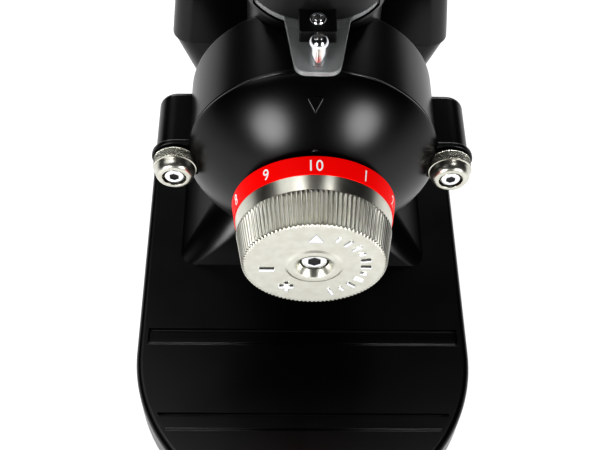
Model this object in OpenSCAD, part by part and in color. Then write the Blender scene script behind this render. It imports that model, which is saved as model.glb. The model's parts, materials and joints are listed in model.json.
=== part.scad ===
// Burr coffee grinder with a horizontal burr axis.
// +Z is up, the dial faces -Y, and the origin is under the middle of the base.

/* [Base] */
// Width of the base
base_width = 146; // [140:1:152]
// Depth of the base, front to back
base_depth = 230; // [226:1:236]
// Height of the base's top face above the table
base_top = 22; // [20:0.5:24]
// Height of the rubber feet under the base
foot_height = 4; // [3:0.5:5]
// Corner radius at the back of the base
base_rear_radius = 38; // [30:1:44]
// Width of each cross groove
groove_width = 7; // [5:0.5:9]
// Depth of each cross groove
groove_depth = 2; // [1:0.25:2.5]
// Wall thickness of the castings
wall = 3; // [2.5:0.25:3.5]

/* [Pillar and motor head] */
// Height of the burr axis above the table
axis_height = 142; // [138:1:146]
// Width of the pillar at its waist
waist_width = 68; // [64:1:72]
// Height of the waist above the table
waist_height = 76; // [70:1:82]
// Width of the motor head at its parting line
head_width = 104.8; // [102:0.2:108]
// Y of the head's front wall
head_front = 26; // [25:0.5:27]
// Y of the head's back wall
head_back = 108; // [106:0.5:109]
// Height of the head's upper shell
head_rise = 48; // [46:0.5:50]

/* [Burr chamber] */
// Outer radius of the chamber
chamber_radius = 43.2; // [42:0.2:44]
// Y of the seam between the chamber and the front cover
seam_y = -27.6; // [-28:0.1:-27]
// Y of the chamber's back
chamber_back = 1.9; // [1:0.1:3]
// Y of the bean throat's axis
throat_y = 12; // [11:0.5:13]
// Radius of the bean throat's bore
throat_bore = 19.5; // [18:0.5:20]
// Height of the throat's rim
throat_top = 190.3; // [189:0.1:192]

/* [Front cover and dial] */
// Radius of the cover's flat front
cover_front_radius = 20; // [19:0.5:24]
// Y of the cover's flat front
cover_front = -49; // [-50:0.5:-48.5]
// Roundness of the dome's profile, 1 for a cone and 2 for an ellipse
dome_roundness = 1.3; // [1:0.05:2]
// Radius of the dial at its back
dial_back_radius = 27.55; // [27:0.05:28]
// Radius of the dial at its face
dial_face_radius = 23.3; // [22:0.1:25]
// Y of the dial's back
dial_back = -49.9; // [-50.2:0.05:-49.6]
// Y of the dial's face
dial_face = -73.7; // [-75:0.1:-72]
// Width of the number ring
scale_width = 6.7; // [6:0.1:8]

/* [Thumb screws] */
// Distance of each thumb screw from the burr axis
screw_offset = 47.5; // [47:0.1:48]
// Diameter of the knurled grip
grip_diameter = 15.2; // [14:0.2:16]
// Clear radius between a turning shaft and its hole
running_gap = 0.05; // [0.01:0.01:0.1]

/* [Hopper] */
// Radius of the hopper at the top
hopper_radius = 60; // [56:1:64]
// Total height of the grinder with its lid
total_height = 355; // [345:1:365]
// Wall thickness of the hopper
hopper_wall = 2.4; // [2:0.1:3]

/* [Hidden] */
$fn = 96;
eps = 0.01;
base_half = base_width / 2;
base_front = -base_depth / 2;
base_back = base_depth / 2;
nose_y = base_front + base_half;
joint_gap = 0.03;
head_half = head_width / 2;
waist_half = waist_width / 2;
head_top = axis_height + head_rise;

// Colours
paint = [0.05, 0.05, 0.055];
plastic = [0.10, 0.10, 0.11];
silver = [0.80, 0.79, 0.76];
bright = [0.88, 0.88, 0.90];
steel = [0.62, 0.63, 0.65];
burr_grey = [0.50, 0.50, 0.52];
brass = [0.80, 0.64, 0.30];
copper = [0.72, 0.40, 0.20];
scale_red = [0.95, 0.06, 0.02];
clear = [0.85, 0.93, 0.96, 0.4];
smoke = [0.25, 0.22, 0.20, 0.5];
rubber = [0.08, 0.08, 0.08];

// Burrs, along Y
burr_radius = 30;
burr_bore = 18;
burr_thickness = 7;
burr_gap = 1.75;
rotating_face = -24;
rotating_back = rotating_face + burr_thickness;
fixed_face = rotating_face - burr_gap;
fixed_back = fixed_face - burr_thickness;
carrier_thickness = 6;
carrier_front = fixed_back - carrier_thickness;
carrier_boss_front = carrier_front - 2.75;
chamber_bore = chamber_radius - 5;
chamber_floor = -2;
feed_bore = 18.5;
feed_radius = 26;
screw_circle = 24;

// Motor, along Y
flange_front = head_front + wall + 1.3;
flange_half_height = 37;
flange_back = 36.9;
bell_front = 37.2;
stator_front = 50.2;
stator_back = 75.8;
rear_bell_back = 88;
fan_front = rear_bell_back + 1.2;
fan_back = fan_front + 5.6;
motor_radius = 43;
bell_bore = 35;
rotor_radius = 24;
journal = 7.5;
bolt_circle = 38.5;

// Adjusting screw
journal_screw = 5;
bush_front = -49.4;
bush_back = -44.6;

// Thumb screws, along Y
ear_front = -29.9;
grip_back = -30.55;
grip_knurl = 4.1;
grip_nose = 3.8;
grip_front = grip_back - grip_knurl - grip_nose;
cap_head_back = grip_front + 4.4;
cap_screw_end = -20;
lug_radius = 6.9;
lug_back = -2.6;
ear_radius = 8.3;
cover_overhang = 0.3;

// Gate and hopper neck
gate_thickness = 2;
gate_floor = 188.1;
gate_half = 20.4;
clamp_y = -16.8;
neck_bottom = throat_top + 0.2;
neck_radius = 24.4;
neck_top = 204;
shoulder_z = 241;
shoulder_radius = 56;
bowl_top = 332;

// Pillar corners and switch
switch_z = 75;
switch_y = 62;
switch_face = waist_half + 3;
grille_radius = 40;
gland_z = 66;
chute_screw_x = 14.8;
plate_screws = [[0, -98], [-64, 20], [64, 20], [0, 104]];
plunger_offset = 22.7;
foot_places = [[-46, -74], [46, -74], [-49, 89], [49, 89]];

// Height of a fraction along a curve that starts flat and ends straight
function ease(u) = (sqrt(u * u + 0.0144) - 0.12) / (sqrt(1.0144) - 0.12);
// Fraction that is 1 at the base's top face and fades out at the waist
function foot_fade(z) = z < waist_height ? pow((waist_height - z) / (waist_height - base_top), 2.8) : 0;
// Fraction that is 0 at the waist and 1 at the parting line
function head_fade(z) = z > waist_height ? ease((z - waist_height) / (axis_height - waist_height)) : 0;
function body_half(z) = waist_half + 25 * foot_fade(z) + (head_half - waist_half) * head_fade(z);
function body_front(z) = 21 - 25 * foot_fade(z) + (head_front - 21) * head_fade(z);
function body_back(z) = 94 + 13 * foot_fade(z) + (head_back - 94) * head_fade(z);
function body_corner(z) = 22 + 12 * foot_fade(z) - 14 * head_fade(z);
// The upper shell leans in a little and rounds over at the top
function crown(z) = pow(max(0, (z - axis_height) / head_rise), 5);
function cover_half(z) = head_half - 0.12 * (z - axis_height) - 7 * crown(z);
function cover_front_y(z) = head_front + 4 * crown(z);
function cover_back_y(z) = head_back - 14 * crown(z) - 0.06 * (z - axis_height);

// Corners of a rounded rectangle at one height, as a ring of points
function ring_points(half, front, back, corner, z) = [
    for (q = [0:3], step = [0:6])
        let (
            a = 90 * q + 15 * step,
            cx = (q == 0 || q == 3 ? 1 : -1) * (half - corner),
            cy = q < 2 ? back - corner : front + corner
        ) [cx + corner * cos(a), cy + corner * sin(a), z]
];

// Closed shell through a list of rings that all have the same number of points
module loft(rings) {
    count = len(rings[0]);
    levels = len(rings);
    sides = [
        for (k = [0:levels - 2], i = [0:count - 1])
            let (j = (i + 1) % count)
                [k * count + i, (k + 1) * count + i, (k + 1) * count + j, k * count + j]
    ];
    bottom = [for (i = [0:count - 1]) i];
    top = [for (i = [count - 1:-1:0]) (levels - 1) * count + i];
    polyhedron(points = [for (ring = rings) each ring], faces = concat(sides, [bottom, top]), convexity = 6);
}

// Cylinder along Y
module rod_y(radius, from, to, x = 0, z = axis_height) {
    translate([x, from, z]) rotate([-90, 0, 0]) cylinder(r = radius, h = to - from);
}

// Ring along Y
module tube_y(radius, bore, from, to, x = 0, z = axis_height) {
    difference() {
        rod_y(radius, from, to, x, z);
        rod_y(bore, from - 1, to + 1, x, z);
    }
}

// Profile of [radius, y] points turned round a line along Y
module turned_y(x = 0) {
    translate([x, 0, axis_height]) rotate([-90, 0, 0]) rotate_extrude() children();
}

// Copies round the burr axis
module around_y(count, start = 0) {
    for (i = [0:count - 1])
        translate([0, 0, axis_height]) rotate([0, start + i * 360 / count, 0]) translate([0, 0, -axis_height])
            children();
}

// Outline of the base, shrunk by an inset
module base_outline(inset) {
    intersection() {
        union() {
            translate([0, nose_y]) circle(r = base_half - inset);
            translate([-base_half + inset, nose_y])
                square([base_width - 2 * inset, base_back - nose_y - inset]);
        }
        translate([0, base_back - base_rear_radius - base_depth / 2]) union() {
            square([base_width, base_depth], center = true);
            translate([-base_half + base_rear_radius, base_depth / 2 - inset])
                square([base_width - 2 * base_rear_radius, base_rear_radius]);
            for (side = [-1, 1])
                translate([side * (base_half - base_rear_radius), base_depth / 2])
                    circle(r = base_rear_radius - inset);
        }
    }
}

// Socket-head screw that points along +Y from the underside of its head
module socket_screw_y(shank, head, head_length, seat, end, x = 0, z = axis_height, key = 3) {
    difference() {
        union() {
            rod_y(head, seat - head_length, seat, x, z);
            rod_y(shank, seat - eps, end, x, z);
        }
        translate([x, seat - head_length - eps, z]) rotate([-90, 0, 0])
            cylinder(d = key / cos(30), h = head_length * 0.55, $fn = 6);
    }
}

// Cross groove with ends that follow the base's outline
module base_groove(front, half) {
    translate([0, 0, base_top - groove_depth]) linear_extrude(groove_depth + 1) intersection() {
        translate([-half, front]) square([2 * half, groove_width]);
        base_outline(4.5);
    }
}

// Inside of the pillar, from a height upwards
module pillar_cavity(bottom) {
    loft([
        for (z = [bottom, each [base_top:12:axis_height - 1], axis_height + 1])
            let (h = min(max(z, base_top), axis_height))
                ring_points(body_half(h) - wall, body_front(h) + wall, body_back(h) - wall,
                            max(body_corner(h) - wall, 3), z)
    ]);
}

module base_casting() {
    color(paint) difference() {
        union() {
            translate([0, 0, foot_height]) linear_extrude(base_top - foot_height - 2) base_outline(0);
            translate([0, 0, base_top - 2 - eps]) linear_extrude(2 + eps) base_outline(1.5);
        }
        base_groove(-38, 68.5);
        base_groove(-78.3, 60);
        translate([0, 0, foot_height - eps]) linear_extrude(base_top - foot_height - 5) base_outline(wall);
        pillar_cavity(base_top - 6);
    }
}

module main_body() {
    color(paint) difference() {
        union() {
            loft([
                for (z = [base_top + joint_gap, each [base_top + 6:6:axis_height - 1], axis_height])
                    ring_points(body_half(z), body_front(z), body_back(z), body_corner(z), z)
            ]);
            translate([waist_half - 6, switch_y - 13, switch_z - 16]) cube([9, 26, 32]);
        }
        pillar_cavity(base_top - 1);
        rod_y(feed_radius + 0.4, head_front - 4, head_front + wall + 1);
        rod_y(grille_radius - 6, head_back - wall - 1, head_back + 1);
        for (side = [-1, 1])
            for (hole = [[2.55, head_front + wall + 1], [3.8, head_front - 0.4]])
                rod_y(hole[0], head_front - 6, hole[1], side * 30, axis_height - 20);
        translate([waist_half - 7, switch_y - 7.7, switch_z - 10.7]) cube([12, 15.4, 21.4]);
        rod_y(6.05, body_back(gland_z) - wall - 3, body_back(gland_z) + 5, 0, gland_z);
        for (a = [45:90:315])
            rod_y(1.3, head_back - wall - 1, head_back + 1, 37 * cos(a), axis_height + 37 * sin(a));
    }
}

module top_cover() {
    color(paint) difference() {
        loft([
            for (z = [axis_height + 0.1, each [axis_height + 6:6:axis_height + 30],
                      each [axis_height + 34:2:head_top]])
                ring_points(cover_half(z), cover_front_y(z), cover_back_y(z), 7 + 4 * crown(z), z)
        ]);
        loft([
            for (z = [axis_height - 1, each [axis_height + 12:12:axis_height + 36], head_top - wall])
                let (h = max(z, axis_height))
                    ring_points(cover_half(h) - wall, cover_front_y(h) + wall, cover_back_y(h) - wall, 4, z)
        ]);
        rod_y(feed_radius + 0.4, head_front - 1, flange_back);
        translate([0, throat_y, axis_height]) cylinder(r = 25.3, h = head_rise + 5);
        rod_y(grille_radius - 6, head_back - 16, head_back + 1);
        for (side = [-1, 1])
            translate([side * 34, 84, head_top - wall - 1]) cylinder(r = 2.05, h = wall + 2);
        for (a = [45, 135])
            rod_y(1.3, head_back - 16, head_back + 1, 37 * cos(a), axis_height + 37 * sin(a));
    }
}

module top_cover_screws() {
    color(steel) for (side = [-1, 1])
        translate([side * 34, 84, 0]) union() {
            translate([0, 0, head_top]) cylinder(r = 3.6, h = 2.2);
            translate([0, 0, head_top - 14]) cylinder(r = 2, h = 14 + eps);
        }
}

module rear_grille() {
    slot_pitch = 7;
    color(plastic) difference() {
        rod_y(grille_radius, head_back + 0.05, head_back + 2.8);
        intersection() {
            rod_y(grille_radius - 7, head_back - 1, head_back + 4);
            union() for (i = [-4:4])
                translate([-40, head_back - 1, axis_height + i * slot_pitch - 1.75]) cube([80, 6, 3.5]);
        }
        for (a = [45:90:315])
            rod_y(1.55, head_back - 1, head_back + 4, 37 * cos(a), axis_height + 37 * sin(a));
    }
}

module rear_grille_screws() {
    color(steel) for (a = [45:90:315])
        union() {
            rod_y(2.6, head_back + 2.8, head_back + 4.6, 37 * cos(a), axis_height + 37 * sin(a));
            rod_y(1.25, head_back - 2.6, head_back + 2.8 + eps, 37 * cos(a), axis_height + 37 * sin(a));
        }
}

module bottom_plate() {
    color(steel) difference() {
        translate([0, 0, foot_height + 0.6]) linear_extrude(1.5) base_outline(wall + 0.3);
        for (place = foot_places)
            translate([place[0], place[1], 0]) cylinder(r = 2.1, h = 10);
        for (place = plate_screws)
            translate([place[0], place[1], 0]) cylinder(r = 1.6, h = 10);
    }
}

module bottom_plate_screws() {
    color(steel) for (place = plate_screws)
        translate([place[0], place[1], 0]) union() {
            translate([0, 0, foot_height - 1.1]) cylinder(r = 2.8, h = 1.7);
            translate([0, 0, foot_height + 0.6 - eps]) cylinder(r = 1.5, h = 9);
        }
}

module rubber_feet() {
    color(rubber) for (place = foot_places)
        translate([place[0], place[1], 0]) difference() {
            union() {
                cylinder(r1 = 10, r2 = 11, h = 1.2);
                translate([0, 0, 1.2 - eps]) cylinder(r = 11, h = foot_height + 0.6 - 1.2);
            }
            translate([0, 0, -1]) cylinder(r = 2.1, h = 10);
            translate([0, 0, -1]) cylinder(r = 4.2, h = 3);
        }
}

module foot_screws() {
    color(steel) for (place = foot_places)
        translate([place[0], place[1], 0]) union() {
            translate([0, 0, 0.6]) cylinder(r = 3.8, h = 1.4);
            translate([0, 0, 2 - eps]) cylinder(r = 2, h = 9);
        }
}

module burr_housing() {
    lug_length = lug_back - 1.5 - seam_y;
    color(paint) difference() {
        union() {
            rod_y(chamber_radius, seam_y + 0.05, chamber_back);
            rod_y(feed_radius, chamber_back - 1, flange_front + 1);
            intersection() {
                rod_y(motor_radius - 1, flange_front, flange_back);
                translate([-motor_radius, flange_front - 1, axis_height - motor_radius])
                    cube([2 * motor_radius, 10, motor_radius + flange_half_height]);
            }
            translate([0, throat_y, axis_height]) cylinder(r = 23.2, h = throat_top - axis_height - 4);
            translate([0, throat_y, throat_top - 4 - eps]) cylinder(r = 24.7, h = 4 + eps);
            translate([-18, -26, 93]) cube([36, 26, 16]);
            for (side = [-1, 1]) {
                rod_y(lug_radius, seam_y + 0.05, lug_back - 1.5, side * screw_offset);
                translate([side * screw_offset, lug_back - 1.5 - eps, axis_height]) rotate([-90, 0, 0])
                    cylinder(r1 = lug_radius, r2 = lug_radius - 1.2, h = 1.5);
                translate([side > 0 ? 38 : -screw_offset, seam_y + 0.05, axis_height - lug_radius])
                    cube([screw_offset - 38, lug_length, 2 * lug_radius]);
            }
            translate([0, clamp_y, 180]) cylinder(r = 3.4, h = 6.4);
        }
        rod_y(chamber_bore, seam_y - 1, chamber_floor);
        rod_y(feed_bore, chamber_floor - 1, flange_front + 1.5);
        translate([0, throat_y, axis_height]) cylinder(r = throat_bore, h = 60);
        gate_pocket();
        rod_y(12, flange_back - 5, flange_back + 1);
        rod_y(journal + 0.3, 25, flange_back + 1);
        translate([-10, -22, 90]) cube([20, 18, 22]);
        for (side = [-1, 1]) {
            rod_y(2 + running_gap, seam_y - 1, cap_screw_end + 4, side * screw_offset);
            rod_y(2.05, flange_front - 1, flange_back - 0.5, side * 30, axis_height - 20);
            translate([side * chute_screw_x, -13, 92]) cylinder(r = 1.3, h = 9);
        }
        for (a = [45:90:315])
            rod_y(2.05, flange_front + 1, flange_back + 1, bolt_circle * cos(a),
                axis_height + bolt_circle * sin(a));
        translate([0, clamp_y, 178]) cylinder(r = 1.55, h = 10);
    }
}

// Space in the throat's rim that the gate slides in
module gate_pocket() {
    translate([0, 0, gate_floor - 0.1]) linear_extrude(throat_top - gate_floor + 1) union() {
        translate([0, throat_y]) circle(r = gate_half + 0.3);
        translate([-gate_half - 0.3, -40]) square([2 * gate_half + 0.6, throat_y + 40]);
    }
}

module housing_screws() {
    color(steel) for (side = [-1, 1])
        socket_screw_y(2, 3.5, 4, head_front - 0.5, flange_back - 1, side * 30, axis_height - 20);
}

module chute() {
    color(plastic) difference() {
        union() {
            translate([-18, -26, 90.9]) cube([36, 26, 2]);
            translate([-11.5, -23.5, 76]) cube([23, 21, 15]);
        }
        translate([-10, -22, 70]) cube([20, 18, 30]);
        for (side = [-1, 1])
            translate([side * chute_screw_x, -13, 80]) cylinder(r = 1.55, h = 20);
    }
}

module chute_screws() {
    color(steel) for (side = [-1, 1])
        translate([side * chute_screw_x, -13, 0]) union() {
            translate([0, 0, 89.2]) cylinder(r = 2.6, h = 1.7);
            translate([0, 0, 90.8]) cylinder(r = 1.25, h = 9);
        }
}

module hopper_neck() {
    color(plastic) difference() {
        union() {
            translate([0, throat_y, neck_bottom]) cylinder(r = neck_radius, h = neck_top - neck_bottom);
            translate([-6, -21.8, neck_bottom]) cube([12, 14, 5]);
            translate([0, clamp_y, 186.5]) cylinder(r = 2.25, h = neck_bottom - 186.5 + eps);
        }
        translate([0, throat_y, neck_bottom - 1]) cylinder(r = throat_bore, h = 30);
        translate([0, throat_y, neck_bottom + 3]) cylinder(r = 21.7, h = 30);
        translate([0, clamp_y, 180]) cylinder(r = 1.55, h = 20);
    }
}

module hopper_screw() {
    color(bright) difference() {
        union() {
            translate([0, clamp_y, neck_bottom + 5]) cylinder(r = 2.7, h = 2);
            translate([0, clamp_y, 180.5]) cylinder(r = 1.5, h = neck_bottom + 5 - 180.5 + eps);
        }
        translate([0, clamp_y, neck_bottom + 6]) cylinder(d = 2 / cos(30), h = 2, $fn = 6);
    }
}

// Profile of the hopper from its spigot up, drawn in by an inset
module bowl_profile(bottom, ledge, inset, top) {
    spigot = 21.6 - inset;
    polygon([
        [0, bottom], [spigot, bottom], [spigot, neck_top + 0.3], [ledge, neck_top + 0.3],
        [shoulder_radius - inset, shoulder_z], [hopper_radius - inset, top], [0, top]
    ]);
}

module hopper_bowl() {
    color(smoke) translate([0, throat_y, 0]) rotate_extrude() difference() {
        bowl_profile(neck_bottom + 3.1, neck_radius, 0, bowl_top);
        bowl_profile(neck_bottom, 21.6 - hopper_wall, hopper_wall, bowl_top + 1);
    }
}

module hopper_lid() {
    lid_z = bowl_top + 0.3;
    color(plastic) translate([0, throat_y, 0]) rotate_extrude() union() {
        translate([0, lid_z]) square([hopper_radius + 0.5, 4]);
        translate([hopper_radius - hopper_wall - 3, lid_z - 6]) square([2.2, 6.1]);
        translate([0, lid_z + 3.9]) square([hopper_radius - 8, 3]);
        translate([0, lid_z + 6.8]) square([9, total_height - lid_z - 10.8]);
        translate([0, total_height - 6]) square([13, 6]);
    }
}

module shaft_seal() {
    color(rubber) tube_y(12, journal + running_gap, flange_back - 4.9, flange_back);
}

module front_bell() {
    color(silver) difference() {
        union() {
            rod_y(motor_radius, bell_front, bell_front + 3);
            tube_y(motor_radius, bell_bore, bell_front, stator_front - 0.1);
            rod_y(21, bell_front, stator_front - 0.1);
        }
        rod_y(17.5, bell_front + 1.8, stator_front + 1);
        rod_y(10, bell_front - 1, stator_front + 1);
        around_y(4, 45) rod_y(2.05, bell_front - 1, stator_front + 1, bolt_circle);
    }
}

module rear_bell() {
    color(silver) difference() {
        union() {
            rod_y(motor_radius, rear_bell_back - 3, rear_bell_back);
            tube_y(motor_radius, bell_bore, stator_back + 0.1, rear_bell_back);
            rod_y(19.5, stator_back + 0.1, rear_bell_back);
        }
        rod_y(16, stator_back - 1, rear_bell_back - 1);
        rod_y(8, stator_back - 1, rear_bell_back + 1);
        around_y(4, 45) rod_y(2.05, stator_back - 1, rear_bell_back + 1, bolt_circle);
    }
}

module stator_core() {
    color(burr_grey) difference() {
        rod_y(motor_radius, stator_front, stator_back);
        rod_y(rotor_radius + 0.4, stator_front - 1, stator_back + 1);
        around_y(4, 45) rod_y(2.05, stator_front - 1, stator_back + 1, bolt_circle);
        around_y(24) translate([25.5, stator_front - 1, axis_height - 1.25]) cube([9, 50, 2.5]);
    }
}

module stator_windings() {
    color(copper) union() {
        tube_y(34.4, 25.6, stator_front - 5, stator_front - 0.05);
        tube_y(34.4, 25.6, stator_back + 0.05, stator_back + 5);
        around_y(24) translate([26, stator_front - 1, axis_height - 1])
            cube([8, stator_back - stator_front + 2, 2]);
    }
}

module front_bearing() {
    color(steel) tube_y(17.5, journal + running_gap, stator_front - 11, stator_front - 0.2);
}

module rear_bearing() {
    color(steel) tube_y(16, 6 + running_gap, rear_bell_back - 11, rear_bell_back - 1);
}

module through_bolts() {
    color(steel) around_y(4, 45) union() {
        rod_y(2, flange_front + 1.5, rear_bell_back + eps, bolt_circle);
        translate([bolt_circle, rear_bell_back, axis_height]) rotate([-90, 0, 0])
            cylinder(r = 3.9, h = 3, $fn = 6);
    }
}

module run_capacitor() {
    color(bright) translate([-10, 60, 27]) union() {
        cylinder(r = 14, h = 48);
        for (side = [-1, 1])
            translate([side * 6 - 0.4, -3, 47.9]) cube([0.8, 6, 9]);
    }
}

module capacitor_clamp() {
    color(steel) translate([-10, 60, 40]) difference() {
        union() {
            cylinder(r = 15.2, h = 12);
            translate([-19.5, -4, 0]) cube([6, 8, 12]);
        }
        translate([0, 0, -1]) cylinder(r = 14.05, h = 14);
    }
}

module terminal_block() {
    color([0.85, 0.84, 0.80]) difference() {
        translate([-12, 80, 28]) cube([24, 9, 12]);
        for (i = [-1:1]) {
            translate([i * 7, 79, 34]) rotate([-90, 0, 0]) cylinder(r = 1.6, h = 12);
            translate([i * 7, 84.5, 36]) cylinder(r = 1.8, h = 6);
        }
    }
}

module switch_frame() {
    color(plastic) difference() {
        union() {
            translate([switch_face + 0.05, switch_y - 9.5, switch_z - 12.5]) cube([2, 19, 25]);
            translate([switch_face - 20, switch_y - 7.5, switch_z - 10.5]) cube([20.1, 15, 21]);
        }
        translate([switch_face - 9, switch_y - 6.3, switch_z - 9.3]) cube([16, 12.6, 18.6]);
        rod_y(1.5 + running_gap, switch_y - 7.2, switch_y + 7.2, switch_face, switch_z);
    }
}

module switch_rocker() {
    color(plastic) union() {
        translate([switch_face, switch_y - 5.9, switch_z]) rotate([0, 11, 0]) rotate([-90, 0, 0])
            linear_extrude(11.8)
                polygon([[3.2, 0], [2.4, 8.2], [-2, 7.6], [-5.5, 2], [-5.5, -2], [-2, -7.6], [2.4, -8.2]]);
        rod_y(1.5, switch_y - 7, switch_y + 7, switch_face, switch_z);
    }
}

module cord_gland() {
    wall_y = body_back(gland_z);
    color(plastic) difference() {
        union() {
            rod_y(6, wall_y - 9, wall_y + 1, 0, gland_z);
            translate([0, wall_y + 0.6, gland_z]) rotate([-90, 0, 0]) cylinder(r = 9, h = 4, $fn = 6);
            rod_y(7, wall_y + 4.5, wall_y + 12, 0, gland_z);
        }
        rod_y(3.75, wall_y - 10, wall_y + 13, 0, gland_z);
    }
}

module gland_nut() {
    wall_y = body_back(gland_z);
    color(plastic) difference() {
        translate([0, wall_y - wall - 3.6, gland_z]) rotate([-90, 0, 0]) cylinder(r = 9, h = 3.4, $fn = 6);
        rod_y(6.03, wall_y - 20, wall_y, 0, gland_z);
    }
}

// Radius of the cover's dome at a fraction of its length, 0 at the seam
function dome_radius(u) = cover_front_radius
    + (chamber_radius + cover_overhang - cover_front_radius)
        * pow(1 - pow(u, dome_roundness), 1 / dome_roundness);

// Profile of the dome, grown by an offset
module dome_profile(grow) {
    steps = 14;
    length = cover_front - (seam_y - 0.1);
    polygon([
        [0, seam_y - 0.1],
        for (i = [0:steps])
            [dome_radius(i / steps) + grow, seam_y - 0.1 + (length - grow) * i / steps],
        [0, cover_front - grow]
    ]);
}

module front_cover() {
    color(paint) union() {
        difference() {
            union() {
                turned_y() dome_profile(0);
                for (side = [-1, 1]) {
                    rod_y(ear_radius, ear_front, seam_y - 0.1, side * screw_offset);
                    translate([side > 0 ? 36 : -screw_offset, ear_front, axis_height - ear_radius])
                        cube([screw_offset - 36, seam_y - 0.1 - ear_front, 2 * ear_radius]);
                }
            }
            rod_y(32.3, -40, seam_y + 1);
            rod_y(27, -44.5, -39);
            rod_y(8.02, cover_front - 1, -40);
            rod_y(2.5, cover_front - 1, -40, plunger_offset);
            around_y(3, 30) rod_y(2.02, -47, -40, screw_circle);
            for (side = [-1, 1]) {
                rod_y(2.2, ear_front - 1, seam_y + 1, side * screw_offset);
                rod_y(8.1, grip_front - 1, ear_front, side * screw_offset);
            }
        }
        tube_y(chamber_bore - 0.2, chamber_bore - 2.5, seam_y - 0.2, seam_y + 3);
        pointer();
    }
}

// Raised triangle that points at the number ring
module pointer() {
    intersection() {
        translate([0, 0, axis_height + 33.5]) linear_extrude(12)
            polygon([[-3.5, -35.7], [2.5, -35.7], [-0.5, -39.3]]);
        turned_y() dome_profile(0.4);
    }
}

module adjuster_bush() {
    color(brass) difference() {
        union() {
            rod_y(8, bush_front, bush_back);
            rod_y(10, bush_front, cover_front);
        }
        rod_y(journal_screw + running_gap, -60, -40);
    }
}

module guide_pins() {
    color(steel) around_y(3, 30) rod_y(2, -47, -34.5, screw_circle);
}

module detent_plunger() {
    color(brass) union() {
        rod_y(2.5, cover_front + 0.05, -42.5, plunger_offset);
        translate([plunger_offset, cover_front + 0.3, axis_height]) sphere(r = 0.9);
    }
}

// Radius of the dial's tapered side
function dial_radius(y) = dial_back_radius
    + (dial_face_radius - dial_back_radius) * (dial_back - y) / (dial_back - dial_face);

module dial() {
    scale_front = dial_back - scale_width;
    color(silver) difference() {
        turned_y() polygon([
            [0, dial_back], [24.5, dial_back], [24.5, scale_front], [dial_radius(scale_front), scale_front],
            [dial_face_radius, dial_face + 0.6], [dial_face_radius - 0.8, dial_face],
            [8.7, dial_face], [8.25, dial_face - 0.6], [6.15, dial_face - 0.6], [4.5, dial_face + 1.6],
            [4.5, -67], [0, -67]
        ]);
        tube_y(21, 8.5, -68, dial_back + 1);
        rod_y(journal_screw + 0.02, -64, dial_back + 1);
        rod_y(2.55, -75, -60);
    }
}

module scale_ring() {
    scale_front = dial_back - scale_width;
    color(scale_red) turned_y() polygon([
        [24.55, dial_back], [dial_back_radius, dial_back],
        [dial_radius(scale_front), scale_front + 0.02], [24.55, scale_front + 0.02]
    ]);
}

module dial_screw() {
    color(bright) socket_screw_y(2.5, 4.25, 5, -67.05, -54, 0, axis_height, 4);
}

module adjusting_screw() {
    color(steel) difference() {
        union() {
            rod_y(journal_screw, -64, -34.5);
            rod_y(7.5, -44.5, -42.2);
        }
        rod_y(2.55, -65, -53);
    }
}

module burr_carrier() {
    color(silver) difference() {
        union() {
            rod_y(31.8, carrier_front, fixed_back);
            rod_y(9, carrier_boss_front, fixed_back);
        }
        rod_y(journal_screw + running_gap, -50, -20);
        around_y(3, 30) rod_y(2 + running_gap, -50, -20, screw_circle);
        around_y(3, 90) rod_y(2.05, -50, -20, screw_circle);
    }
}

// Flat burr whose cutting face is at one end, with slanting teeth
module flat_burr(face, back) {
    teeth = 18;
    inward = back > face ? 1 : -1;
    difference() {
        tube_y(burr_radius, burr_bore, min(face, back), max(face, back));
        turned_y() polygon([[0, face - inward], [burr_bore + 5, face - inward], [burr_bore + 5, face],
                            [burr_bore - 1, face + inward * 3.2], [0, face + inward * 3.2]]);
        around_y(teeth) translate([burr_bore + 3, face, axis_height]) rotate([0, 25, 0])
            translate([-2, -0.8, -0.9]) cube([16, 1.6, 1.8]);
        around_y(3, 90) rod_y(2.1, min(face, back) - 1, max(face, back) + 1, screw_circle);
        around_y(3, 90) rod_y(4.1, face - 2.6, face + 2.6, screw_circle);
    }
}

module fixed_burr() {
    color(burr_grey) flat_burr(fixed_face, fixed_back + eps);
}

module fixed_burr_screws() {
    color(steel) around_y(3, 90) union() {
        rod_y(3.9, fixed_face - 2.6, fixed_face - 0.4, screw_circle);
        rod_y(2, carrier_front + 0.5, fixed_face - 2.5, screw_circle);
    }
}

module motor_shaft() {
    color(steel) union() {
        rod_y(4, -23.2, -17);
        rod_y(6, -17.2, 30);
        rod_y(journal, 29, stator_front + 1.5);
        rod_y(9, stator_front + 1, stator_back);
        rod_y(6, stator_back - 1, fan_back + 0.2);
    }
}

module rotor_core() {
    color(burr_grey) tube_y(rotor_radius, 9.02, stator_front + 1.6, stator_back - 1);
}

module cooling_fan() {
    color(plastic) difference() {
        union() {
            rod_y(9, fan_front, fan_back - 0.2);
            around_y(9) translate([7, fan_front + 0.4, axis_height - 0.9])
                rotate([-24, 0, 0]) cube([23, 1.6, 9]);
            tube_y(33, 8, fan_front, fan_front + 1.2);
        }
        rod_y(6.02, fan_front - 5, fan_back + 5);
    }
}

module feed_auger() {
    color(steel) difference() {
        union() {
            rod_y(9, -11.8, 28.6);
            translate([0, -11.8, axis_height]) rotate([-90, 0, 0])
                linear_extrude(height = 40.2, twist = 680, slices = 56, $fn = 8)
                    translate([0, -2.2]) square([17, 4.4]);
        }
        rod_y(6.02, -20, 40);
    }
}

module burr_drive() {
    color(silver) difference() {
        union() {
            rod_y(10.5, rotating_back, -12);
            tube_y(30.5, burr_bore + 1, rotating_back, -12);
            around_y(3, 30) translate([8, rotating_back, axis_height - 3.5]) cube([13, 5, 7]);
            around_y(3) translate([22, -12.2, axis_height - 2]) cube([15.2, 8.6, 4]);
        }
        rod_y(6.02, -30, 0);
        around_y(3, 90) rod_y(2.05, -30, 0, screw_circle);
    }
}

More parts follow.
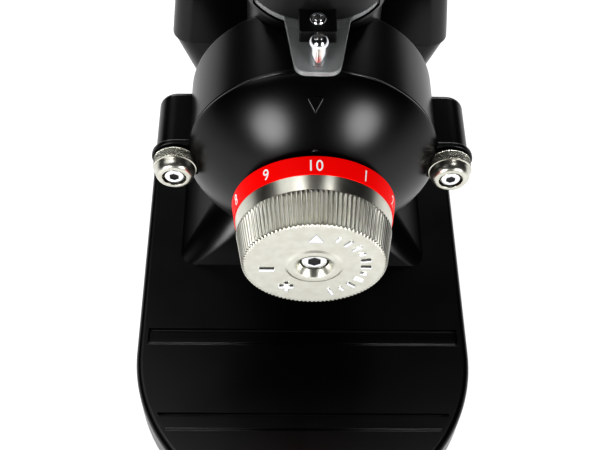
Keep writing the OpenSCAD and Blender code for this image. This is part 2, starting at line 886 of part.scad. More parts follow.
module rotating_burr() {
    color(burr_grey) flat_burr(rotating_face, rotating_back - eps);
}

module rotating_burr_screws() {
    color(steel) around_y(3, 90) union() {
        rod_y(3.9, rotating_face + 0.4, rotating_face + 2.6, screw_circle);
        rod_y(2, rotating_face + 2.5, -12.4, screw_circle);
    }
}

module shaft_nut() {
    color(steel) difference() {
        translate([0, -22, axis_height]) rotate([-90, 0, 0]) cylinder(r = 7.5, h = 4.7, $fn = 6);
        rod_y(4.02, -30, -10);
    }
}

module gate_slide() {
    tongue_tip = -33.8;
    tongue_end = 6.6;
    slot_half = 2.6;
    color(clear) translate([0, 0, gate_floor]) linear_extrude(gate_thickness) difference() {
        union() {
            intersection() {
                translate([0, throat_y]) circle(r = 24.2);
                translate([-gate_half, -20]) square([2 * gate_half, throat_y + 20]);
            }
            translate([0, throat_y]) circle(r = gate_half);
            polygon([[-11, -9], [-8.3, -24.4], [-tongue_end, tongue_tip + tongue_end],
                     [tongue_end, tongue_tip + tongue_end], [8.3, -24.4], [11, -9]]);
            translate([0, tongue_tip + tongue_end]) circle(r = tongue_end);
        }
        translate([0, throat_y + 24]) square([60, 2 * (24 - gate_half - 0.1)], center = true);
        hull() {
            translate([0, clamp_y]) circle(r = slot_half, $fn = 32);
            translate([0, clamp_y + 30.3]) circle(r = slot_half, $fn = 32);
        }
        translate([0, -28.7]) circle(r = 1.5);
    }
}

module gate_knob() {
    gate_top = gate_floor + gate_thickness;
    color(bright) translate([0, -28.7, 0]) union() {
        translate([0, 0, gate_floor - 1]) cylinder(r = 2.4, h = 1);
        translate([0, 0, gate_floor - eps]) cylinder(r = 1.5, h = gate_thickness + 2 * eps);
        translate([0, 0, gate_top]) cylinder(r = 3.05, h = 7.6);
        translate([0, 0, gate_top + 7.6]) sphere(r = 3.05);
    }
}

module thumb_washer(side) {
    color(steel) tube_y(5.2, 2.1, grip_back + 0.02, ear_front - 0.1, side * screw_offset);
}

module thumb_grip(side) {
    radius = grip_diameter / 2;
    knurl_front = grip_back - grip_knurl;
    color(silver) turned_y(side * screw_offset) polygon([
        [2.05, grip_back], [radius - 0.5, grip_back], [radius, grip_back - 0.5],
        [radius, knurl_front + 0.5], [radius - 0.5, knurl_front],
        for (a = [0:15:90])
            [6.35 - 1 + (radius - 0.5 - 5.35) * cos(a), knurl_front - (grip_nose) * sin(a)],
        [4, grip_front], [4, cap_head_back], [2.05, cap_head_back]
    ]);
}

module thumb_cap_screw(side) {
    color(bright) socket_screw_y(2, 3.4, 4, cap_head_back - 0.01, cap_screw_end, side * screw_offset);
}

module left_washer() { thumb_washer(-1); }
module right_washer() { thumb_washer(1); }
module left_grip() { thumb_grip(-1); }
module right_grip() { thumb_grip(1); }
module left_cap_screw() { thumb_cap_screw(-1); }
module right_cap_screw() { thumb_cap_screw(1); }

base_casting();
main_body();
top_cover();
top_cover_screws();
rear_grille();
rear_grille_screws();
bottom_plate();
bottom_plate_screws();
rubber_feet();
foot_screws();
burr_housing();
housing_screws();
chute();
chute_screws();
hopper_neck();
hopper_screw();
hopper_bowl();
shaft_seal();
front_bell();
rear_bell();
stator_core();
stator_windings();
front_bearing();
rear_bearing();
through_bolts();
run_capacitor();
capacitor_clamp();
terminal_block();
switch_frame();
cord_gland();
gland_nut();
front_cover();
adjuster_bush();
guide_pins();
detent_plunger();
dial();
scale_ring();
dial_screw();
adjusting_screw();
burr_carrier();
fixed_burr();
fixed_burr_screws();
motor_shaft();
rotor_core();
cooling_fan();
feed_auger();
burr_drive();
rotating_burr();
rotating_burr_screws();
shaft_nut();
gate_slide();
gate_knob();
left_washer();
left_grip();
left_cap_screw();
right_washer();
right_grip();
right_cap_screw();
hopper_lid();
switch_rocker();
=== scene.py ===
"""Looks of the burr coffee grinder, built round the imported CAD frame.

Lengths are in millimetres until a mesh is made.
"""
import json
import math

import bmesh
import bpy
import numpy as np
from mathutils import Matrix, Vector


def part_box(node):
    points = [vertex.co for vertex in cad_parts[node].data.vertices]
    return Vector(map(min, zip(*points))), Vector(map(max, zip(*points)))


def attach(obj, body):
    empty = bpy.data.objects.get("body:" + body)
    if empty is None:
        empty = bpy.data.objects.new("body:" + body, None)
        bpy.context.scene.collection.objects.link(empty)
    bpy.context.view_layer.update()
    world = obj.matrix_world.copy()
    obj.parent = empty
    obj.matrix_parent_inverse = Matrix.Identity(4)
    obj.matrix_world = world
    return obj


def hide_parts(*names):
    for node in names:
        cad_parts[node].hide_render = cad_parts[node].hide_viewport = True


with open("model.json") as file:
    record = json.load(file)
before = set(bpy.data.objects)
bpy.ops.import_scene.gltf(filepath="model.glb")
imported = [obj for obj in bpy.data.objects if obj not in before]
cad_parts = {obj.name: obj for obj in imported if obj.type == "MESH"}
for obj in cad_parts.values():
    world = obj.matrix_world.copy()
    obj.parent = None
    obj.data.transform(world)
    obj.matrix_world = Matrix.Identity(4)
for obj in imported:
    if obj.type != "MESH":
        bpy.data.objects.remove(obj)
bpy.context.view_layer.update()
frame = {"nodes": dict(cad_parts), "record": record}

MM = 0.001
TAU = 2 * math.pi


# ---------------------------------------------------------------- places taken from the frame

def box_mm(node):
    """Lowest and highest corner of a CAD node, in millimetres."""
    low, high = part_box(node)
    return low / MM, high / MM


def centre_mm(node):
    """Middle of a CAD node's box, in millimetres."""
    low, high = box_mm(node)
    return (low + high) / 2


AXIS_Z = centre_mm("scale_ring").z
BASE_LOW, BASE_HIGH = box_mm("base_casting")
BASE_HALF = BASE_HIGH.x
BASE_FRONT, BASE_BACK = BASE_LOW.y, BASE_HIGH.y
BASE_BOTTOM = BASE_LOW.z
BASE_TOP = BASE_HIGH.z
NOSE_Y = BASE_FRONT + BASE_HALF
HEAD_LOW, HEAD_HIGH = box_mm("top_cover")
HEAD_HALF = HEAD_HIGH.x
HEAD_FRONT, HEAD_BACK = HEAD_LOW.y, HEAD_HIGH.y
CHAMBER_LOW, CHAMBER_HIGH = box_mm("burr_housing")
SEAM_Y = CHAMBER_LOW.y
THROAT_TOP = CHAMBER_HIGH.z
THROAT_Y = centre_mm("hopper_bowl").y
COVER_FRONT = box_mm("front_cover")[0].y
RING_LOW, RING_HIGH = box_mm("scale_ring")
SCREW_X = centre_mm("right_grip").x

# Sizes that the looks have and the frame has no box for.
WALL = 3.0
WAIST_HALF = 34.0
WAIST_Z = 76.0
WAIST_FRONT, WAIST_BACK = 21, 94
CHAMBER_R = 43.2
COVER_R = 43.5
LUG_R = 6.9
EAR_R = 8.3
FRONT_PORT_R, REAR_PORT_R = 26.4, 34
DIAL_FACE = -73.7
DIAL_BACK_R, DIAL_FRONT_R = 27.55, 23.3
FLUTES = 100
CLAMP_Y = -16.8
THROAT_R = 24.2
BOWL_FOOT_R = 21.6


# ---------------------------------------------------------------- mesh helpers

def arc(cx, cy, radius, start, end, steps):
    """Points along an arc, angles in degrees."""
    return [(cx + radius * math.cos(math.radians(start + (end - start) * i / steps)),
             cy + radius * math.sin(math.radians(start + (end - start) * i / steps))) for i in range(steps + 1)]


def rounded(points, steps=5, closed=False):
    """A polyline of (x, y, corner radius) with its corners turned into arcs."""
    out = []
    count = len(points)
    for i, (x, y, radius) in enumerate(points):
        if radius <= 0 or (not closed and i in (0, count - 1)):
            out.append((x, y))
            continue
        here = Vector((x, y))
        back = Vector(points[i - 1][:2]) - here
        ahead = Vector(points[(i + 1) % count][:2]) - here
        angle = back.angle(ahead)
        reach = min(radius / math.tan(angle / 2), back.length * 0.49, ahead.length * 0.49)
        start, end = here + back.normalized() * reach, here + ahead.normalized() * reach
        for k in range(steps + 1):
            t = k / steps
            out.append(tuple((1 - t) ** 2 * start + 2 * t * (1 - t) * here + t * t * end))
    return out


def new_object(name, verts, faces):
    """A mesh object from millimetre points, with its normals outwards."""
    mesh = bpy.data.meshes.new(name)
    bm = bmesh.new()
    made = [bm.verts.new((x * MM, y * MM, z * MM)) for x, y, z in verts]
    for face in faces:
        if len(set(face)) > 2:
            try:
                bm.faces.new([made[i] for i in face])
            except ValueError:
                pass
    bmesh.ops.remove_doubles(bm, verts=bm.verts, dist=1e-7)
    loose = [v for v in bm.verts if not v.link_faces]
    bmesh.ops.delete(bm, geom=loose, context="VERTS")
    bmesh.ops.recalc_face_normals(bm, faces=bm.faces)
    bm.to_mesh(mesh)
    bm.free()
    obj = bpy.data.objects.new(name, mesh)
    bpy.context.scene.collection.objects.link(obj)
    return obj


def lathe(name, profile, axis="Y", at=(0, 0, 0), segments=160, closed=False, shape=None):
    """Turns (radius, along) points round a line. shape(angle, radius, along) may change the radius."""
    count = len(profile)
    verts, faces = [], []
    for i in range(segments):
        a = TAU * i / segments
        for radius, along in profile:
            r = shape(a, radius, along) if shape else radius
            x, z = r * math.sin(a), r * math.cos(a)
            if axis == "Y":
                verts.append((at[0] + x, at[1] + along, at[2] + z))
            else:
                verts.append((at[0] + x, at[1] + z, at[2] + along))
    for i in range(segments):
        j = (i + 1) % segments
        for k in range(count if closed else count - 1):
            n = (k + 1) % count
            faces.append((i * count + k, j * count + k, j * count + n, i * count + n))
    if not closed:
        for k in (0, count - 1):
            if profile[k][0] > 1e-6:
                faces.append([i * count + k for i in range(segments)])
    return new_object(name, verts, faces)


def loft(name, rings):
    """A closed skin through rings that have the same number of points."""
    count = len(rings[0])
    verts = [p for ring in rings for p in ring]
    faces = [(k * count + i, k * count + (i + 1) % count, (k + 1) * count + (i + 1) % count, (k + 1) * count + i)
             for k in range(len(rings) - 1) for i in range(count)]
    faces.append(list(range(count)))
    faces.append([(len(rings) - 1) * count + i for i in range(count)])
    return new_object(name, verts, faces)


def prism(name, outline, low, high, axis="Z"):
    """An outline of (a, b) points pushed along an axis."""
    def point(p, h):
        return {"Z": (p[0], p[1], h), "Y": (p[0], h, p[1]), "X": (h, p[0], p[1])}[axis]
    return loft(name, [[point(p, low) for p in outline], [point(p, high) for p in outline]])


def apply_modifier(obj, kind, **settings):
    """Adds a modifier and keeps its result as the mesh."""
    modifier = obj.modifiers.new(kind, kind)
    for key, value in settings.items():
        setattr(modifier, key, value)
    graph = bpy.context.evaluated_depsgraph_get()
    mesh = bpy.data.meshes.new_from_object(obj.evaluated_get(graph))
    obj.modifiers.clear()
    old = obj.data
    obj.data = mesh
    bpy.data.meshes.remove(old)
    return obj


def combine(obj, others, operation="UNION"):
    """Adds or cuts other solids, one at a time, and removes them."""
    for other in others:
        apply_modifier(obj, "BOOLEAN", operation=operation, solver="EXACT", object=other)
        mesh = other.data
        bpy.data.objects.remove(other)
        bpy.data.meshes.remove(mesh)
    return obj


def cut(obj, *others):
    return combine(obj, others, "DIFFERENCE")


def join(obj, *others):
    return combine(obj, others, "UNION")


def bevel(obj, width, segments=3, angle=35):
    """Rounds every edge that is sharper than an angle."""
    return apply_modifier(obj, "BEVEL", width=width * MM, segments=segments, limit_method="ANGLE",
                          angle_limit=math.radians(angle), use_clamp_overlap=True, harden_normals=False,
                          miter_outer="MITER_ARC")


def smooth(obj, angle=35):
    """Smooth shading, with the edges above an angle kept sharp, and flat faces kept flat."""
    bm = bmesh.new()
    bm.from_mesh(obj.data)
    bmesh.ops.dissolve_degenerate(bm, dist=1e-7, edges=bm.edges)
    for face in bm.faces:
        face.smooth = True
    limit = math.radians(angle)
    for edge in bm.edges:
        edge.smooth = len(edge.link_faces) == 2 and edge.calc_face_angle(0) < limit
    bm.to_mesh(obj.data)
    bm.free()
    return apply_modifier(obj, "WEIGHTED_NORMAL", keep_sharp=True, weight=50)


def place(obj, body, slot, replaced=(), angle=35, shade=True):
    """Gives a finished piece its shading, material, body and slot."""
    if shade:
        smooth(obj, angle)
    obj.data.materials.clear()
    obj.data.materials.append(MATERIALS[slot])
    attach(obj, body)
    if replaced:
        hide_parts(*replaced)
    return obj


def tube(name, radius, low, high, axis="Y", at=(0, 0, 0), segments=96):
    """A plain round solid along an axis, used to join or cut."""
    return lathe(name, [(0, low), (radius, low), (radius, high), (0, high)], axis, at, segments)


# ---------------------------------------------------------------- materials

def material(name, colour, roughness, metallic=0.0, **sockets):
    """A Principled material, with the values that are the same all over set on its own sockets."""
    mat = bpy.data.materials.new(name)
    mat.use_nodes = True
    shader = mat.node_tree.nodes["Principled BSDF"]
    shader.inputs["Base Color"].default_value = (*colour, 1)
    shader.inputs["Roughness"].default_value = roughness
    shader.inputs["Metallic"].default_value = metallic
    for socket, value in sockets.items():
        shader.inputs[socket.replace("_", " ")].default_value = value
    return mat, shader


def noise(mat, scale, detail=3.0, stretch=None):
    """Noise in object space, in cycles per metre."""
    nodes, links = mat.node_tree.nodes, mat.node_tree.links
    coords = nodes.new("ShaderNodeTexCoord")
    texture = nodes.new("ShaderNodeTexNoise")
    texture.inputs["Scale"].default_value = scale
    texture.inputs["Detail"].default_value = detail
    source = coords.outputs["Object"]
    if stretch:
        mapping = nodes.new("ShaderNodeMapping")
        mapping.inputs["Scale"].default_value = stretch
        links.new(source, mapping.inputs["Vector"])
        source = mapping.outputs["Vector"]
    links.new(source, texture.inputs["Vector"])
    return texture.outputs["Fac"]


def spread(mat, value, low, high, start=0.35, end=0.65):
    """Maps a noise value to a range of roughness."""
    node = mat.node_tree.nodes.new("ShaderNodeMapRange")
    node.inputs["From Min"].default_value = start
    node.inputs["From Max"].default_value = end
    node.inputs["To Min"].default_value = low
    node.inputs["To Max"].default_value = high
    mat.node_tree.links.new(value, node.inputs["Value"])
    return node.outputs["Result"]


def tint(mat, value, dark, light):
    """Maps a noise value to a colour between two."""
    ramp = mat.node_tree.nodes.new("ShaderNodeValToRGB")
    ramp.color_ramp.elements[0].position = 0.35
    ramp.color_ramp.elements[1].position = 0.65
    ramp.color_ramp.elements[0].color = (*dark, 1)
    ramp.color_ramp.elements[1].color = (*light, 1)
    mat.node_tree.links.new(value, ramp.inputs["Fac"])
    return ramp.outputs["Color"]


def relief(mat, shader, value, strength, distance):
    """Fine bumps, with a depth in millimetres."""
    bump = mat.node_tree.nodes.new("ShaderNodeBump")
    bump.inputs["Strength"].default_value = strength
    bump.inputs["Distance"].default_value = distance * MM
    mat.node_tree.links.new(value, bump.inputs["Height"])
    mat.node_tree.links.new(bump.outputs["Normal"], shader.inputs["Normal"])


def grained(name, dark, light, rough, grain_scale, depth, metallic=0.0, stretch=None, blotch=60.0, **sockets):
    """A material with blotchy colour, varied roughness and a fine grain."""
    mat, shader = material(name, light, rough[0], metallic, **sockets)
    blotches = noise(mat, blotch, 3.0, stretch)
    grain = noise(mat, grain_scale, 2.0, stretch)
    links = mat.node_tree.links
    links.new(tint(mat, blotches, dark, light), shader.inputs["Base Color"])
    links.new(spread(mat, blotches, *rough), shader.inputs["Roughness"])
    relief(mat, shader, grain, 0.35, depth)
    return mat


def make_materials():
    """One material for each slot in the record."""
    return {
        "black_paint": grained("black_paint", (0.0010, 0.0012, 0.0015), (0.0014, 0.0016, 0.0020), (0.28, 0.30),
                               2600, 0.006, Specular_IOR_Level=0.45),
        "black_plastic": grained("black_plastic", (0.006, 0.006, 0.0065), (0.010, 0.010, 0.0105), (0.36, 0.46),
                                 3200, 0.02),
        "dial_aluminium": grained("dial_aluminium", (0.58, 0.575, 0.51), (0.64, 0.635, 0.58), (0.29, 0.31),
                                  5200, 0.002, 1.0, blotch=300),
        "red_scale": grained("red_scale", (0.97, 0.001, 0.0), (1.0, 0.002, 0.0), (0.42, 0.50), 4200, 0.01,
                             Specular_IOR_Level=0.12),
        "bright_steel": grained("bright_steel", (0.74, 0.75, 0.77), (0.86, 0.87, 0.88), (0.14, 0.20), 1800, 0.004,
                                1.0),
        "steel": grained("steel", (0.42, 0.43, 0.45), (0.60, 0.61, 0.63), (0.26, 0.40), 2400, 0.01, 1.0,
                         stretch=(1, 6, 1)),
        "burr_steel": grained("burr_steel", (0.30, 0.30, 0.32), (0.46, 0.46, 0.48), (0.24, 0.36), 2800, 0.01, 1.0),
        "cast_aluminium": grained("cast_aluminium", (0.48, 0.49, 0.50), (0.66, 0.67, 0.68), (0.42, 0.58), 1500,
                                  0.05, 1.0),
        "laminations": grained("laminations", (0.10, 0.10, 0.11), (0.22, 0.22, 0.23), (0.40, 0.55), 1800, 0.05, 0.8,
                               stretch=(0.2, 12, 0.2)),
        "copper": grained("copper", (0.30, 0.08, 0.02), (0.62, 0.24, 0.08), (0.22, 0.34), 1600, 0.15, 0.9,
                          stretch=(1, 0.3, 1)),
        "brass": grained("brass", (0.52, 0.34, 0.10), (0.72, 0.52, 0.20), (0.20, 0.32), 1800, 0.01, 1.0),
        "clear_plastic": grained("clear_plastic", (0.80, 0.83, 0.83), (0.86, 0.88, 0.88), (0.14, 0.20), 900, 0.003,
                                 Transmission_Weight=0.74, IOR=1.49),
        "smoked_plastic": grained("smoked_plastic", (0.20, 0.18, 0.165), (0.26, 0.24, 0.22), (0.03, 0.07), 700,
                                  0.003, Transmission_Weight=0.92, IOR=1.5),
        "rubber": grained("rubber", (0.010, 0.010, 0.010), (0.022, 0.022, 0.022), (0.62, 0.80), 3000, 0.04),
        "white_plastic": grained("white_plastic", (0.66, 0.65, 0.60), (0.78, 0.77, 0.73), (0.34, 0.44), 2500, 0.01),
    }


MATERIALS = make_materials()
WHITE_INK = grained("white_ink", (0.86, 0.87, 0.88), (0.95, 0.95, 0.95), (0.34, 0.42), 3000, 0.005)

NODE_SLOTS = {part["node"]: part["material_slot"] for part in frame["record"]["subparts"]}
for node, obj in frame["nodes"].items():
    obj.data.materials.clear()
    obj.data.materials.append(MATERIALS[NODE_SLOTS[node]])


# ---------------------------------------------------------------- body casting

def ease(u):
    """Starts flat and ends straight, from 0 to 1."""
    return (math.sqrt(u * u + 0.0144) - 0.12) / (math.sqrt(1.0144) - 0.12)


def section(flare, lift, z, inset=0.0):
    """Rounded rectangle of the pillar: flare is 1 at the base, lift is 1 at the parting line."""
    half = WAIST_HALF + 25 * flare + (HEAD_HALF - WAIST_HALF) * lift - inset
    front = WAIST_FRONT - 20.5 * flare + (HEAD_FRONT - WAIST_FRONT) * lift + inset
    back = WAIST_BACK + 13 * flare + (HEAD_BACK - WAIST_BACK) * lift - inset
    corner = max(22 - 17 * flare - 14 * lift - inset, 2.5)
    return rectangle_ring(half, front, back, corner, z)


def rectangle_ring(half, front, back, corner, z, steps=12):
    """A level rounded rectangle as a ring of points."""
    points = []
    for quarter, (sx, sy) in enumerate(((1, 1), (-1, 1), (-1, -1), (1, -1))):
        cx = sx * (half - corner)
        cy = back - corner if sy > 0 else front + corner
        points += arc(cx, cy, corner, 90 * quarter, 90 * quarter + 90, steps)
    return [(x, y, z) for x, y in points]


def base_outline(inset, steps=72):
    """The base seen from above: a round nose and two rounded back corners."""
    rear = 38 - inset
    points = arc(0, NOSE_Y, BASE_HALF - inset, 180, 360, steps)
    points += arc(BASE_HALF - inset - rear, BASE_BACK - inset - rear, rear, 0, 90, 16)
    points += arc(-(BASE_HALF - inset - rear), BASE_BACK - inset - rear, rear, 90, 180, 16)
    return points


def base_solid(name, inset, low, high, rim=0.0, foot=0.0):
    """The base's outline as a solid, with its top edge and foot rounded by rim and foot."""
    rings = []
    if foot:
        for i in range(5):
            a = math.radians(90 * i / 5)
            rings.append([(x, y, low + foot * (1 - math.sin(a)))
                          for x, y in base_outline(inset + foot * (1 - math.cos(a)))])
        rings.reverse()
    else:
        rings.append([(x, y, low) for x, y in base_outline(inset)])
    if rim:
        for i in range(9):
            a = math.radians(90 * i / 8)
            rings.append([(x, y, high - rim * (1 - math.sin(a)))
                          for x, y in base_outline(inset + rim * (1 - math.cos(a)))])
    else:
        rings.append([(x, y, high) for x, y in base_outline(inset)])
    return loft(name, rings)


def groove(name, front, width):
    """A shallow cross groove: upright at the back, rounded over at the front, with ends along the outline."""
    depth, ease_in, over = 2.0, 1.2, BASE_TOP + 3
    bottom = BASE_TOP - depth
    back = front + width
    near = [(front - ease_in + 2 * ease_in * i / 8, BASE_TOP - depth * (0.5 - 0.5 * math.cos(math.pi * i / 8)))
            for i in range(9)]
    line = [(back, over), (front - ease_in, over)] + near + [(back - 0.4, bottom), (back, bottom + 0.4)]
    cutter = prism(name, line, -BASE_HALF, BASE_HALF, "X")
    return combine(cutter, [base_solid("outline", 4.5, BASE_BOTTOM, BASE_TOP + 5)], "INTERSECT")


def body_casting():
    """Base, pillar and lower half of the motor head, in one hollow casting."""
    body = base_solid("body_casting", 0, BASE_BOTTOM, BASE_TOP, rim=3.0, foot=0.8)
    rings = []
    for z in list(np.linspace(BASE_TOP + 0.02, 28, 14)) + list(np.linspace(29, WAIST_Z, 26)):
        rings.append((0.9 * ((WAIST_Z - z) / (WAIST_Z - BASE_TOP)) ** 3.2, 0, z))
    steps = 24
    for i in range(1, steps + 1):
        u = i / steps
        rings.append((0, ease(u), WAIST_Z + (AXIS_Z - WAIST_Z) * u))
    outer = [section(rings[0][0], 0, BASE_TOP - 6)] + [section(*ring) for ring in rings]
    pillar = loft("pillar", outer)
    low, high = box_mm("switch_frame")

    def switch_corners(grow):
        """Corners of the switch's frame, moved outwards."""
        return [(low.y - grow, low.z - grow), (high.y + grow, low.z - grow),
                (high.y + grow, high.z + grow), (low.y - grow, high.z + grow)]

    boss = prism("switch_boss", rounded([(y, z, 3) for y, z in switch_corners(3.5)], 5, True),
                 WAIST_HALF - 6, high.x - 2.05, "X")
    join(body, pillar, boss)
    inner = [section(max(flare - 0.02, 0), lift, z, WALL) for flare, lift, z in rings[14::3]]
    inner = [[(x, y, BASE_TOP - 9) for x, y, z in inner[0]]] + inner + [section(0, 1, AXIS_Z + 2, WALL)]
    cavity = loft("cavity", inner)
    hollow = base_solid("hollow", WALL, BASE_BOTTOM - 2, BASE_TOP - 5)
    cut(body, groove("groove_back", -38, 7), groove("groove_front", -78.3, 7))
    cut(body, cavity, hollow)
    cut(body, tube("front_port", FRONT_PORT_R, HEAD_FRONT - 6, HEAD_FRONT + 6, at=(0, 0, AXIS_Z)))
    cut(body, tube("rear_port", REAR_PORT_R, HEAD_BACK - 8, HEAD_BACK + 4, at=(0, 0, AXIS_Z)))
    cut(body, prism("switch_hole", switch_corners(-1.8), WAIST_HALF - 8, WAIST_HALF + 9, "X"))
    gland = centre_mm("cord_gland")
    cut(body, tube("gland_hole", 6.05, gland.y - 12, gland.y + 12, at=(0, 0, gland.z)))
    bevel(body, 0.55, 3, 40)
    return place(body, "housing", "black_paint", ["base_casting", "main_body"])


# ---------------------------------------------------------------- motor head

def upper_shell():
    """Upper half of the motor head, open below and notched round the throat."""
    rise = HEAD_HIGH.z - AXIS_Z

    def level(t, inset=0.0):
        """Ring at a fraction of the shell's rise; the top rounds over."""
        crown = t ** 5
        z = AXIS_Z + 0.1 + (rise - 0.1) * t
        half = HEAD_HALF - 0.12 * rise * t - 7 * crown - inset
        return rectangle_ring(half, HEAD_FRONT + 4 * crown + inset,
                              HEAD_BACK - 14 * crown - 0.06 * rise * t - inset, 7 + 5 * crown, z)

    heights = [i / 20 * 0.7 for i in range(20)]
    heights += [0.7 + 0.3 * math.sin(math.radians(90 * i / 22)) for i in range(23)]
    shell = loft("upper_shell", [level(t) for t in heights])
    inner = [[(x, y, z - WALL) for x, y, z in level(t, WALL)] for t in heights[::3] + [1.0]]
    cut(shell, loft("shell_cavity", inner))
    cut(shell, tube("throat_notch", 25.3, AXIS_Z - 1, HEAD_HIGH.z + 4, "Z", (0, THROAT_Y, 0)))
    cut(shell, tube("front_port", FRONT_PORT_R, HEAD_FRONT - 4, HEAD_FRONT + 12, at=(0, 0, AXIS_Z)))
    cut(shell, tube("rear_port", REAR_PORT_R, HEAD_BACK - 16, HEAD_BACK + 4, at=(0, 0, AXIS_Z)))
    bevel(shell, 0.7, 3, 40)
    return place(shell, "housing", "black_paint", ["top_cover"])


# ---------------------------------------------------------------- burr chamber and throat

def lug(name, side, radius, front, back, inner_x, edge=1.6):
    """A lug with rounded ends beside the chamber: 0.5 mm at the front and edge at the back."""
    x = side * SCREW_X
    rings = []
    for t in range(7):
        a = math.radians(15 * t)
        rings.append((front + 0.5 * (1 - math.sin(a)), radius - 0.5 * (1 - math.cos(a))))
    for t in range(7):
        a = math.radians(15 * (6 - t))
        rings.append((back - edge * (1 - math.sin(a)), radius - edge * (1 - math.cos(a))))
    rings = sorted(set(rings))
    return loft(name, [[(px, y, pz) for px, pz in lug_outline(x, r, inner_x)] for y, r in rings])


def lug_outline(x, radius, inner_x):
    """A half round about the screw's line, drawn in to the chamber."""
    side = 1 if x > 0 else -1
    points = arc(0, 0, radius, -90, 90, 18) + [(inner_x - abs(x), radius), (inner_x - abs(x), -radius)]
    return [(side * (abs(x) + px), AXIS_Z + pz) for px, pz in points]


def chamber():
    """Burr chamber with its flange, throat, outlet and two lugs."""
    back, hub, flange_front, flange_back = 1.9, 26, 30.3, 36.9
    profile = rounded([(0, SEAM_Y, 0), (CHAMBER_R, SEAM_Y, 0.5), (CHAMBER_R, back, 2.2), (hub, back, 0),
                       (hub, flange_back, 0), (0, flange_back, 0)], 6)
    casting = lathe("burr_chamber", profile, at=(0, 0, AXIS_Z), segments=224)
    lip, neck, rim = THROAT_TOP, 23.2, 24.7
    collar = rounded([(0, AXIS_Z, 0), (neck, AXIS_Z, 0), (neck, lip - 5.2, 1.0), (rim, lip - 4.0, 0.7),
                      (rim, lip, 0.35), (0, lip, 0)], 6)
    flange = tube("flange", 42, flange_front, flange_back, at=(0, 0, AXIS_Z), segments=160)
    cut(flange, prism("flat", [(-60, 25), (60, 25), (60, 45), (-60, 45)], AXIS_Z + 37, AXIS_Z + 60))
    tower = lathe("tower", collar, "Z", (0, THROAT_Y, 0), 160)
    outlet = prism("outlet_boss", rounded([(-18, -26, 2), (18, -26, 2), (18, 0, 2), (-18, 0, 2)], 5, True),
                   93, 108)
    lugs = [lug("lug", side, LUG_R, SEAM_Y, -4.6, 38, 2.6) for side in (-1, 1)]
    boss = tube("clamp_boss", 3.4, 180, 186.4, "Z", (0, CLAMP_Y, 0), 48)
    join(casting, lugs[0], lugs[1], flange, tower, outlet, boss)
    burr_bore, hub_bore, shaft_bore = 38.2, 18.5, 7.8
    bore = lathe("bore", [(0, SEAM_Y - 2), (burr_bore, SEAM_Y - 2), (burr_bore, -2), (hub_bore, -2),
                          (hub_bore, flange_front + 0.4), (shaft_bore, flange_front + 0.4),
                          (shaft_bore, flange_back + 3.1), (0, flange_back + 3.1)], at=(0, 0, AXIS_Z), segments=160)
    cut(casting, bore, tube("throat_bore", 19.5, AXIS_Z, THROAT_TOP + 5, "Z", (0, THROAT_Y, 0), 128))
    pocket_half = 20.7
    pocket = [(-pocket_half, -40), (pocket_half, -40)] + arc(0, THROAT_Y, pocket_half, 0, 180, 40)
    cut(casting, prism("gate_pocket", pocket, 188.0, THROAT_TOP + 3))
    cut(casting, prism("outlet", [(-10, -22), (10, -22), (10, -4), (-10, -4)], 90, 112))
    for side in (-1, 1):
        cut(casting, tube("screw_hole", 2.05, SEAM_Y - 1, -12, at=(side * SCREW_X, 0, AXIS_Z),
                          segments=32))
    bevel(casting, 0.3, 2, 50)
    return place(casting, "housing", "black_paint", ["burr_housing"])


# ---------------------------------------------------------------- front cover

def dome_radius(t, front_radius=20, roundness=1.3):
    """Radius of the dome at a fraction of its length from the seam."""
    return front_radius + (COVER_R - front_radius) * (1 - t ** roundness) ** (1 / roundness)


def front_cover():
    """Domed cover with its ears, spigot and pointer."""
    back = SEAM_Y - 0.15
    edge, drop = 2.4, math.radians(32)
    start = back - edge * math.sin(drop)
    length = COVER_FRONT - start
    rim = [(COVER_R - edge + edge * math.cos(a), start + edge * math.sin(a))
           for a in [drop * (6 - i) / 6 for i in range(7)]]
    outer = rim + [(dome_radius(i / 40), start + length * i / 40) for i in range(1, 41)]
    boss_bore, step, chamber_bore = 8.02, 27, 32.3
    inner = [(boss_bore, COVER_FRONT), (boss_bore, -44.5), (step, -44.5), (step, -40),
             (chamber_bore, -40), (chamber_bore, back)]
    cover = lathe("dome_cover", outer + inner, at=(0, 0, AXIS_Z), segments=224, closed=True)
    ear_face = -29.9
    ears = [lug("ear", side, EAR_R, ear_face, back, 36, 0.9) for side in (-1, 1)]
    join(cover, *ears)
    join(cover, pointer(start, length))
    spigot_in, spigot_out = 35.7, 38.0
    spigot = lathe("spigot", [(spigot_in, back + 3), (spigot_out, back + 3), (spigot_out, back - 1),
                              (spigot_in, back - 1)], at=(0, 0, AXIS_Z), segments=160, closed=True)
    join(cover, spigot)
    for side in (-1, 1):
        cut(cover, tube("grip_pocket", 8.1, COVER_FRONT - 4, ear_face,
                        at=(side * SCREW_X, 0, AXIS_Z), segments=64))
        cut(cover, tube("ear_hole", 2.2, -33, back + 2, at=(side * SCREW_X, 0, AXIS_Z), segments=32))
    return place(cover, "cover", "black_paint", ["front_cover"])


def pointer(start, length):
    """Raised triangle on top of the dome that points at the numbers."""
    corners = rounded([(-3.5, -35.7, 0.6), (2.5, -35.7, 0.6), (-0.5, -39.6, 0.4)], 4, True)
    centre = (-0.5, -37.0)
    rings = []
    for shrink, grow in ((1.04, -0.8), (1.04, 0.05), (0.97, 0.30), (0.88, 0.39), (0.8, 0.39)):
        ring = []
        for x, y in corners:
            px, py = centre[0] + (x - centre[0]) * shrink, centre[1] + (y - centre[1]) * shrink
            radius = dome_radius((py - start) / length) + grow
            ring.append((px, py, AXIS_Z + math.sqrt(max(radius ** 2 - px ** 2, 1))))
        rings.append(ring)
    return loft("pointer", rings)


# ---------------------------------------------------------------- dial

